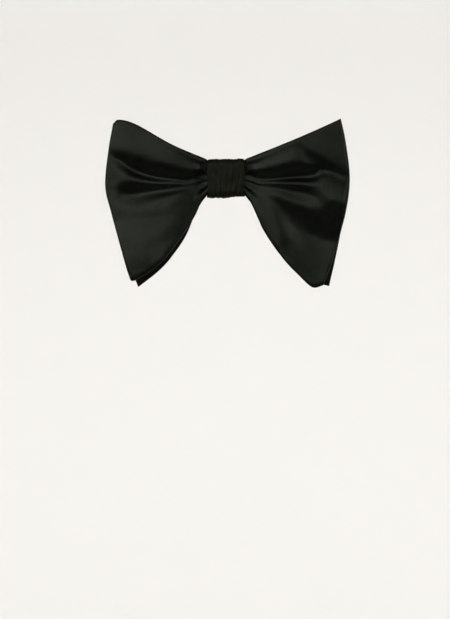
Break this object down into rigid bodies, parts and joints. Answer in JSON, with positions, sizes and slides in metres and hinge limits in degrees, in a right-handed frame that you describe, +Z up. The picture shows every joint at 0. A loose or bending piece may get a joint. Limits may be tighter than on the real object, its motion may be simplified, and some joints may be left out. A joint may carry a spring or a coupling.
{
  "type": "bow tie",
  "caption": "Pre-tied butterfly bow tie with layered wings, a wrapped centre and an adjustable hooked neckband.",
  "frame": {"origin": "centre of the neck loop, at the knot's mid-height", "axes": "+Z up along the wearer's neck, -Y out of the front of the bow, +X to the right as seen from the front"},
  "size_m": [0.1287, 0.1467, 0.0881],
  "materials": {
    "wing_satin": "satin",
    "knot_satin": "satin",
    "band_satin": "satin",
    "interlining": "matte",
    "thread": "satin",
    "nickel": "polished"
  },
  "bodies": {
    "bow": {"band_centre": "band_satin", "front_waist": "wing_satin", "rear_waist": "wing_satin", "cinch_thread": "thread", "knot_wrap": "knot_satin", "knot_lining": "interlining", "knot_stitches": "thread", "centre_stitches": "thread"},
    "front_left": {"front_wing_left": "wing_satin", "front_wing_left_interlining": "interlining"},
    "front_right": {"front_wing_right": "wing_satin", "front_wing_right_interlining": "interlining"},
    "rear_left": {"rear_wing_left": "wing_satin", "rear_wing_left_interlining": "interlining"},
    "rear_right": {"rear_wing_right": "wing_satin", "rear_wing_right_interlining": "interlining"},
    "neckband_left": {"band_left": "band_satin", "band_left_interlining": "interlining", "hook_stitches": "thread"},
    "hook": {"hook": "nickel"},
    "neckband_right": {"band_right": "band_satin", "band_right_interlining": "interlining"},
    "neckband_tail": {"band_tail": "band_satin", "band_tail_interlining": "interlining", "band_return": "band_satin"},
    "ring": {"ring": "nickel"},
    "slider": {"slider": "nickel", "slider_stitches": "thread"}
  },
  "joints": [
    {"name": "front_left_flex", "type": "hinge", "parent": "bow", "child": "front_left", "pos_m": [-0.01, -0.0724, 0], "axis": [0, 0, 1], "range_deg": [0, 25], "stiffness_Nm_per_rad": 0.004},
    {"name": "front_right_flex", "type": "hinge", "parent": "bow", "child": "front_right", "pos_m": [0.01, -0.0724, 0], "axis": [0, 0, -1], "range_deg": [0, 25], "stiffness_Nm_per_rad": 0.004},
    {"name": "rear_left_flex", "type": "hinge", "parent": "bow", "child": "rear_left", "pos_m": [-0.01, -0.0679, 0], "axis": [0, 0, -1], "range_deg": [0, 12], "stiffness_Nm_per_rad": 0.004},
    {"name": "rear_right_flex", "type": "hinge", "parent": "bow", "child": "rear_right", "pos_m": [0.01, -0.0679, 0], "axis": [0, 0, 1], "range_deg": [0, 12], "stiffness_Nm_per_rad": 0.004},
    {"name": "left_swing", "type": "hinge", "parent": "bow", "child": "neckband_left", "pos_m": [-0.01806, -0.06098, 0], "axis": [0, 0, 1], "range_deg": [0, 21]},
    {"name": "right_swing", "type": "hinge", "parent": "bow", "child": "neckband_right", "pos_m": [0.01806, -0.06098, 0], "axis": [0, 0, -1], "range_deg": [0, 21]},
    {"name": "tail_lift", "type": "hinge", "parent": "neckband_right", "child": "neckband_tail", "pos_m": [0.06143, 0.01646, 0], "axis": [0, 0, -1], "range_deg": [0, 80]},
    {"name": "hook_turn", "type": "hinge", "parent": "neckband_left", "child": "hook", "pos_m": [-0.01351, 0.06356, 0], "axis": [0, 0, -1], "range_deg": [0, 60]},
    {"name": "ring_turn", "type": "hinge", "parent": "neckband_tail", "child": "ring", "pos_m": [0.01351, 0.06356, 0], "axis": [0, 0, -1], "range_deg": [0, 120]},
    {"name": "slider_slide", "type": "hinge", "parent": "neckband_tail", "child": "slider", "pos_m": [0, 0, 0], "axis": [0, 0, 1], "range_deg": [-5, 30], "deforming": ["band_return"]}
  ],
  "couplings": [
    {"joint": "left_swing", "follows": "tail_lift", "ratio": 0.25},
    {"joint": "right_swing", "follows": "tail_lift", "ratio": 0.25}
  ]
}
